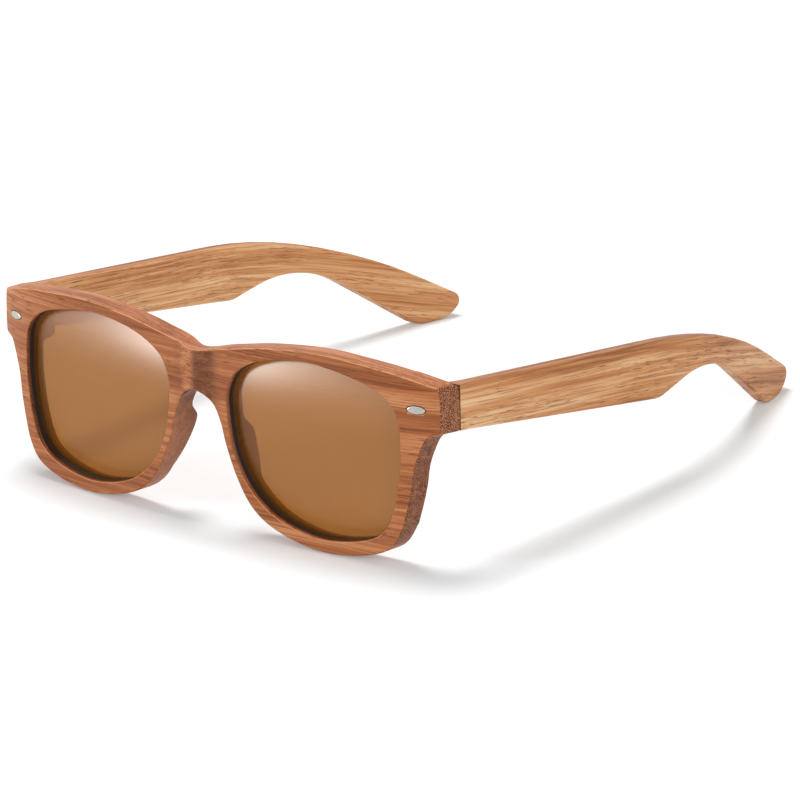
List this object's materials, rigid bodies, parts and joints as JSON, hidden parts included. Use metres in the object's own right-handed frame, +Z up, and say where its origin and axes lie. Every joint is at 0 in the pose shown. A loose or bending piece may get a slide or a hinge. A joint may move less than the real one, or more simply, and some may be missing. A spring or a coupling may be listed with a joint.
{
  "type": "wooden sunglasses",
  "caption": "Wooden sunglasses with a curved full-rim front, tinted lenses and folding temples on barrel hinges.",
  "frame": {"origin": "on the table under the middle of the open sunglasses' length and width", "axes": "+X to the wearer's left, +Y back along the temples, +Z up from the table"},
  "size_m": [0.1472, 0.1564, 0.0496],
  "materials": {
    "wood_front": "satin oiled reddish brown wood, grain across the front",
    "wood_temple": "satin oiled honey brown wood, grain along the temple",
    "lens_tint": "brown tint, polished",
    "liner_black": "black, semi-matt",
    "rivet_metal": "satin silver",
    "hinge_metal": "satin nickel",
    "screw_metal": "plain steel"
  },
  "bodies": {
    "front": {"front_frame": "wood_front", "lens_left": "lens_tint", "lens_liner_left": "liner_black", "rivet_left": "rivet_metal", "front_leaf_left": "hinge_metal", "hinge_screw_left": "screw_metal", "front_leaf_upper_screw_left": "screw_metal", "front_leaf_lower_screw_left": "screw_metal", "lens_right": "lens_tint", "lens_liner_right": "liner_black", "rivet_right": "rivet_metal", "front_leaf_right": "hinge_metal", "hinge_screw_right": "screw_metal", "front_leaf_upper_screw_right": "screw_metal", "front_leaf_lower_screw_right": "screw_metal"},
    "temple_left_arm": {"temple_left": "wood_temple", "temple_leaf_left": "hinge_metal", "temple_leaf_front_screw_left": "screw_metal", "temple_leaf_rear_screw_left": "screw_metal"},
    "temple_right_arm": {"temple_right": "wood_temple", "temple_leaf_right": "hinge_metal", "temple_leaf_front_screw_right": "screw_metal", "temple_leaf_rear_screw_right": "screw_metal"}
  },
  "joints": [
    {"name": "left_temple_fold", "type": "hinge", "parent": "front", "child": "temple_left_arm", "pos_m": [0.068, -0.06087, 0.03824], "axis": [0, 0.0576, 0.9983], "range_deg": [0, 86]},
    {"name": "right_temple_fold", "type": "hinge", "parent": "front", "child": "temple_right_arm", "pos_m": [-0.068, -0.06087, 0.03824], "axis": [0, 0.0576, 0.9983], "range_deg": [-77.5, 0]}
  ]
}
